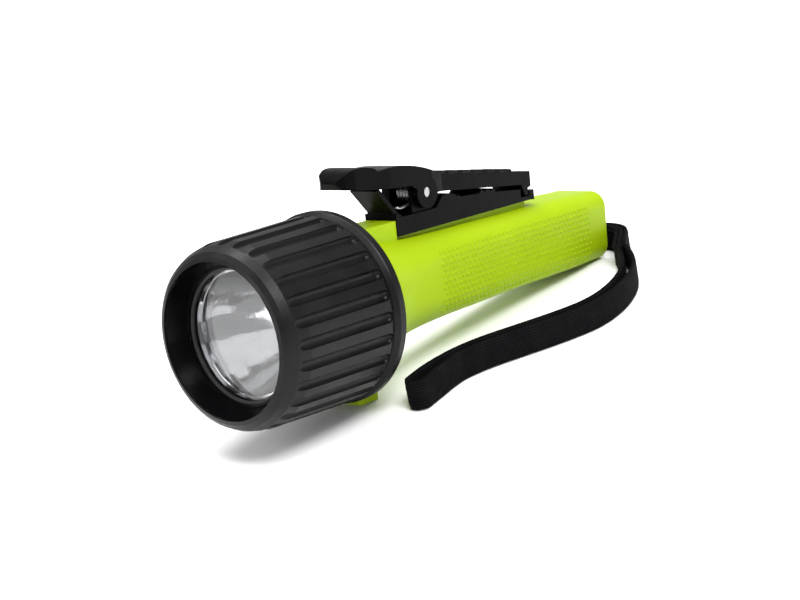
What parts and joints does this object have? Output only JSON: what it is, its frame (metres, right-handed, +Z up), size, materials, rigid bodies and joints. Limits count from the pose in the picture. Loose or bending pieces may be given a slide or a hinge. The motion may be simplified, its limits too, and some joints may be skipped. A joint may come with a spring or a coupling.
{
  "type": "firefighter flashlight",
  "caption": "Safety flashlight with a twist-on grooved rubber head, square yellow-green grip, sprung clip on top and a webbing wrist lanyard at the tail.",
  "frame": {"origin": "centre of the light's box, without its lanyard, on the surface that it lies on", "axes": "+X towards the tail, +Z up to the clip; the optical axis falls towards the tail because the tail is slimmer than the head"},
  "size_m": [0.1968, 0.078, 0.071],
  "materials": {
    "body_plastic": "satin, fluorescent yellow-green",
    "bumper_rubber": "matt black rubber",
    "bezel_plastic": "gloss black",
    "seal_rubber": "matt black",
    "lens_clear": "clear polycarbonate",
    "reflector_chrome": "vacuum-metallised mirror",
    "led_yellow": "yellow phosphor under a clear dome",
    "board_white": "white solder mask",
    "sink_aluminium": "turned",
    "holder_plastic": "moulded black",
    "sled_plastic": "moulded black",
    "cell_wrap": "dark plastic sleeve",
    "contact_metal": "nickel plated",
    "clip_plastic": "gloss black",
    "pin_steel": "bright steel",
    "spring_steel": "spring steel",
    "webbing": "woven black webbing"
  },
  "bodies": {
    "light": {"body_shell": "body_plastic", "head_o_ring": "seal_rubber", "led_emitter": "led_yellow", "led_board": "board_white", "heat_sink": "sink_aluminium", "module_holder": "holder_plastic", "battery_sled": "sled_plastic", "aa_cells": "cell_wrap", "front_contacts": "contact_metal", "contact_springs": "contact_metal", "rear_bridge": "contact_metal", "clip_base": "clip_plastic", "clip_pivot_pin": "pin_steel", "clip_spring": "spring_steel", "clip_screws": "pin_steel", "lanyard_post": "pin_steel", "lanyard_eye_loop": "webbing", "lanyard_sewn_end": "webbing", "lanyard_strap": "webbing"},
    "bezel": {"rubber_bumper": "bumper_rubber", "bezel_ring": "bezel_plastic", "lens_gasket": "seal_rubber", "lens": "lens_clear", "reflector": "reflector_chrome"},
    "lever": {"clip_lever": "clip_plastic"}
  },
  "joints": [
    {"name": "bezel_twist", "type": "hinge", "parent": "light", "child": "bezel", "pos_m": [-0.06813, 0, 0.03558], "axis": [0.9888, 0, -0.1493], "range_deg": [0, 90]},
    {"name": "clip_lever_pivot", "type": "hinge", "parent": "light", "child": "lever", "pos_m": [0.00143, 0, 0.0542], "axis": [0, -1, 0], "range_deg": [0, 9], "stiffness_Nm_per_rad": 0.6, "springref_deg": -20.05}
  ]
}
